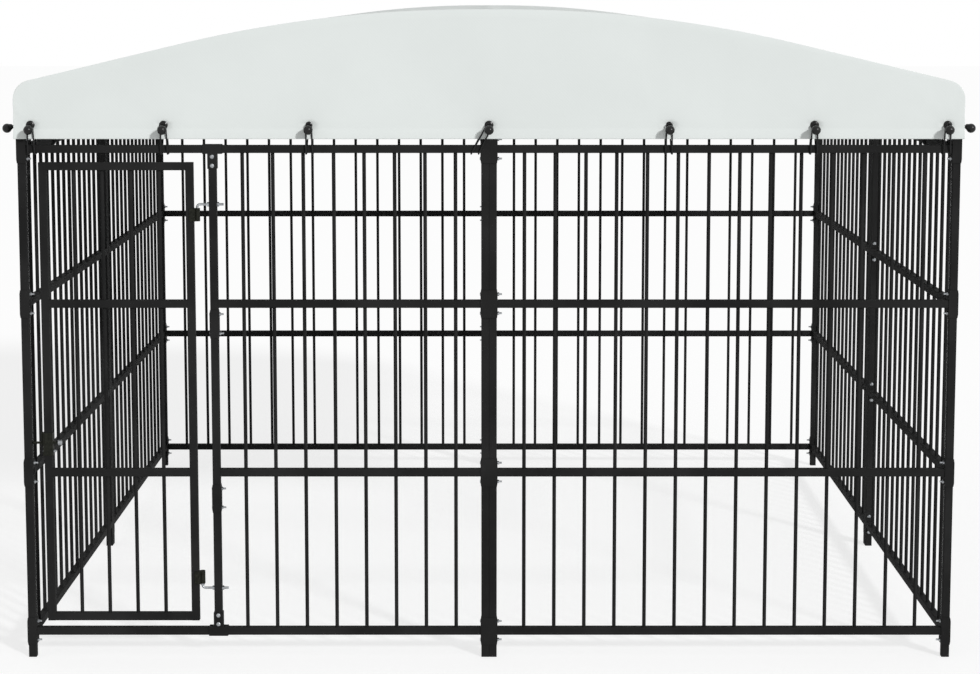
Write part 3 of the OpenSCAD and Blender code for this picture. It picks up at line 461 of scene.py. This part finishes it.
def tie_balls(finish):
    """All balls: the profile turned about the line from the ball to its eyelet, which dips outwards.
    A radius r and a height h give r cos t and r sin t across that line, and h along it."""
    out, up = ball_profile()
    turn = np.linspace(0, 2 * np.pi, BALL_SIDES, endpoint=False)
    u, v, w = np.broadcast_arrays(out[:, None] * np.cos(turn), out[:, None] * np.sin(turn), up[:, None])
    c, s = math.cos(BALL_DIP), math.sin(BALL_DIP)
    ball = np.stack([u, -s * v - c * w, s * w - c * v], axis=-1) + np.array([0, FACE + BALL_OUT, -BALL_DROP])
    cells = quads(len(out), BALL_SIDES, closed=True)
    no_uv = np.zeros((*ball.shape[:2], 2))
    parts = [(at_wall(ball + np.array([x, 0, 0]), wall), cells, no_uv) for wall, x, _ in tie_places()]
    points, faces, _ = joined(parts)
    piece = mesh_piece("tie_ball_mouldings", points, faces, "frame")
    piece.data.materials.append(finish)
    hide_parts("tie_balls")


def roof_height(x):
    """Height of the cover's line at x: level, R-arc, straight slope and eave arc, alike on both sides."""
    a = np.abs(x)
    arc = RIDGE - ROOF_R + np.sqrt(np.maximum(ROOF_R ** 2 - (a - ROOF_FLAT) ** 2, 0))
    slope = ARC_Z - (a - ARC_END) * math.tan(PITCH)
    eave = EAVE_Z + np.sqrt(np.maximum(EAVE_R ** 2 - (a - SKIRT + EAVE_R) ** 2, 0))
    return np.select([a < ROOF_FLAT, a < ARC_END, a < BEND], [np.full_like(a, RIDGE), arc, slope], eave)


def lines(knots, ties):
    """Grid lines through all knots and on both sides of each eyelet, and evenly between them at most a step apart."""
    knots = np.concatenate([knots, ties - EYELET_CELL, ties + EYELET_CELL])
    knots = np.unique(np.round(knots, 6))
    spans = zip(knots[:-1], knots[1:])
    cut = [np.linspace(a, b, max(1, math.ceil((b - a) / GRID_STEP)), endpoint=False) for a, b in spans]
    return np.concatenate(cut + [knots[-1:]])


def skirt_slack(along, up, ties):
    """How far the cloth stands out above the hem: bulges e^-(h / 75 mm)^2 that vanish near the ties, the hem's
    second layer, and folds that fan out from the eyelets as the sum of cos(9 angle) r e^(-r / 60 mm)."""
    d, h = along[:, None] - ties, (up - EYELET_RISE)[:, None]
    held = np.exp(-(d / TIE_REACH) ** 2).max(axis=1)
    bulge = BULGE * np.exp(-(up / BULGE_UP) ** 2) * (1 - held)
    r = np.hypot(d, h)
    fan = np.cos(FOLD_RAYS * np.arctan2(d, h)) * r / FOLD_REACH * np.exp(1 - r / FOLD_REACH) * (r > EYELET_R)
    hem = HEM_T * (1 - np.clip((up - HEM_FOLD) / HEM_STEP, 0, 1))
    return bulge + FOLD * fan.sum(axis=1) + hem


def gable_wave(x, y, up):
    """Broad shallow waves sin(5.1 x) cos(6 h) of a gable that die out at its seams."""
    room = np.clip((roof_height(x) - HEM - up) / WAVE_TOP, 0, 1) * np.clip((SKIRT - np.abs(x)) / WAVE_SIDE, 0, 1)
    return WAVE * room * np.sin(WAVE_X * x + WAVE_SHIFT * np.sign(y)) * np.cos(WAVE_Z * up)


def roof_sag(x, y):
    """How deep the roof hangs: a parabola 1 - t^2 from arch to arch, times a share that grows from the ridge tube
    on, is largest about half way down the slope and ends at the eaves as 1 - s^6."""
    front, back = [(2 * y - a - b) / (b - a) for a, b in (FRONT_BAY, BACK_BAY)]
    t = np.where(y < -TUBE / 2, front, back)
    across = np.clip(np.abs(x) / (SKIRT - EAVE_R), 0, 1)
    free = np.clip((np.abs(x) - TUBE / 2) / RIDGE_HOLD, 0, 1) * (1 - across ** EAVE_POWER)
    return SAG * np.clip(1 - t ** 2, 0, 1) * free * (SAG_LEVEL + (1 - SAG_LEVEL) * np.sin(np.pi * across))


def cover_grid():
    """The sewn sheet drawn tight: a roof strip along Y with upright skirts, and a gable at each end.
    Gives its points, faces and UVs, the lengths along the strip's section, and a gable's area."""
    bend = SKIRT - EAVE_R * (1 - np.cos(EAVE_STEPS))
    x = lines(np.concatenate([-bend, bend, [-ROOF_FLAT, ROOF_FLAT]]), FRONT_TIES)
    y = lines(np.array([-SKIRT, SKIRT, *FRONT_BAY, *BACK_BAY]), SIDE_TIES)
    low = np.array([
        0, HEM_EDGE, HEM_FOLD, HEM_FOLD + HEM_STEP, EYELET_RISE - EYELET_CELL, EYELET_RISE + EYELET_CELL, LOW_END,
    ])
    share = np.linspace(0, 1, GABLE_ROWS + 1)[1:, None]
    top = roof_height(x)
    rise = np.concatenate([np.repeat(low[:, None], len(x), 1), LOW_END + share * (top - HEM - LOW_END)])
    # The roof strip goes up the left skirt, over the roof and down the right skirt.
    px = np.concatenate([np.full(len(rise), -SKIRT), x[1:-1], np.full(len(rise), SKIRT)])
    pz = np.concatenate([HEM + rise[:, 0], top[1:-1], HEM + rise[::-1, -1]])
    far = np.concatenate([[0], np.cumsum(np.hypot(np.diff(px), np.diff(pz)))])
    strip = np.stack(np.broadcast_arrays(px[:, None], y, pz[:, None]), axis=-1)
    strip_uv = np.stack(np.broadcast_arrays(far[:, None], y), axis=-1)
    gable = np.stack(np.broadcast_arrays(x, -SKIRT, HEM + rise), axis=-1)
    gable_uv = np.stack(np.broadcast_arrays(x, rise), axis=-1)
    gable_cells = quads(*rise.shape)[:, :, ::-1]
    points, faces, uv = joined([
        (strip, quads(len(px), len(y))[:, :, ::-1], strip_uv),
        (gable, gable_cells, gable_uv),
        (gable * np.array([-1, -1, 1]), gable_cells, gable_uv),
    ])
    gable_area = float(np.sum(np.diff(x) * (top[1:] + top[:-1] - 2 * HEM) / 2))
    return points, faces, uv, far, gable_area


def beside_eyelets(points, faces):
    """The faces without the cells under the eyelets, which a cell's middle on a gable or a skirt tells."""
    x, y, z = points[faces].mean(axis=1).T
    half = EYELET_CELL / 2
    at_gable_tie = (np.abs(y) > SKIRT - ON_FACE) & (np.abs(x[:, None] - FRONT_TIES).min(axis=1) < half)
    at_side_tie = (np.abs(x) > SKIRT - ON_FACE) & (np.abs(y[:, None] - SIDE_TIES).min(axis=1) < half)
    return faces[~((np.abs(z - TIE_Z) < half) & (at_gable_tie | at_side_tie))]


def hung(points):
    """The tight sheet's points with its slack: skirts and gables move outwards, and the roof sinks by its sag."""
    x, y, z = points.T
    up = z - HEM
    side, end = np.abs(x) > SKIRT - ON_FACE, np.abs(y) > SKIRT - ON_FACE
    return np.stack([
        x + np.where(side, np.sign(x) * skirt_slack(y, up, SIDE_TIES), 0),
        y + np.where(end, np.sign(y) * (skirt_slack(x, up, FRONT_TIES) + gable_wave(x, y, up)), 0),
        z - np.where(side | end, 0, roof_sag(x, y)),
    ], axis=-1)


def roof_cover(finish):
    """The sewn cover as one sheet that sags between the arches and bulges a little between the ties."""
    points, faces, uv, far, gable_area = cover_grid()
    piece = mesh_piece("roof_cover_cloth", hung(points), beside_eyelets(points, faces), "frame", uv=uv)
    piece.data.materials.append(finish)
    seam = piece.modifiers.new("seam", "BEVEL")
    seam.width, seam.segments, seam.limit_method, seam.angle_limit = SEAM_R, SEAM_STEPS, "ANGLE", SEAM_ANGLE
    cloth = piece.modifiers.new("cloth", "SOLIDIFY")
    cloth.thickness, cloth.offset = COVER_T, -1
    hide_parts("roof_cover")


BALL_FINISH = glossy_ball()
BY_SLOT = {
    "steel_coat": powder_coat(), "dark_steel": stove_black(), "galvanised": zinc_plate(),
    "black_plastic": moulded_black(), "ball_plastic": BALL_FINISH,
}
for sub in frame["record"]["subparts"]:
    if sub["material_slot"] in BY_SLOT:
        for slot in NODES[sub["node"]].material_slots:
            slot.material = BY_SLOT[sub["material_slot"]]

tie_cords(braided_cord())
tie_balls(BALL_FINISH)
roof_cover(coated_cloth())

ground = bpy.data.meshes.new("studio_floor")
corners = [(x * FLOOR_HALF, y * FLOOR_HALF, 0) for x, y in ((-1, -1), (1, -1), (1, 1), (-1, 1))]
ground.from_pydata(corners, [], [(0, 1, 2, 3)])
ground.materials.append(studio_floor())
floor = bpy.data.objects.new("studio_floor", ground)
bpy.context.scene.collection.objects.link(floor)

# A white sky for the camera and for mirror rays, which lights the run more softly.
world = bpy.data.worlds.new("studio")
bpy.context.scene.world = world
world.use_nodes = True
sky = world.node_tree
sky.nodes.clear()
ray = add(sky, "ShaderNodeLightPath").outputs
seen = add(sky, "ShaderNodeMath", {0: ray["Is Camera Ray"], 1: ray["Is Glossy Ray"]}, operation="ADD")
seen = add(
    sky, "ShaderNodeMath", {0: seen.outputs[0], 1: ray["Is Transmission Ray"]}, operation="ADD", use_clamp=True,
)
level = add(sky, "ShaderNodeMapRange", {"Value": seen.outputs[0], "To Min": SKY_LIGHT, "To Max": 1.0})
white = add(sky, "ShaderNodeBackground", {"Color": (1, 1, 1, 1), "Strength": level.outputs["Result"]})
add(sky, "ShaderNodeOutputWorld", {"Surface": white.outputs["Background"]})

lamp = bpy.data.lights.new("key", "SUN")
lamp.energy, lamp.angle = SUN, SUN_ANGLE
key = bpy.data.objects.new("key", lamp)
bpy.context.scene.collection.objects.link(key)
aim_x, aim_y, aim_z = SUN_AIM
key.rotation_euler = (math.atan2(math.hypot(aim_x, aim_y), -aim_z), 0, math.atan2(aim_y, aim_x) - math.pi / 2)

lens = bpy.data.cameras.new("camera")
lens.sensor_width, lens.lens = SENSOR, FOCAL / PHOTO_W * SENSOR
lens.shift_x, lens.shift_y = SHIFT_X, SHIFT_Y
lens.clip_end = FAR_CLIP
eye = bpy.data.objects.new("camera", lens)
bpy.context.scene.collection.objects.link(eye)
eye.location = EYE
eye.rotation_euler = (math.pi / 2 - TILT, 0, 0)
bpy.context.scene.camera = eye
bpy.context.scene.view_settings.view_transform = "Standard"
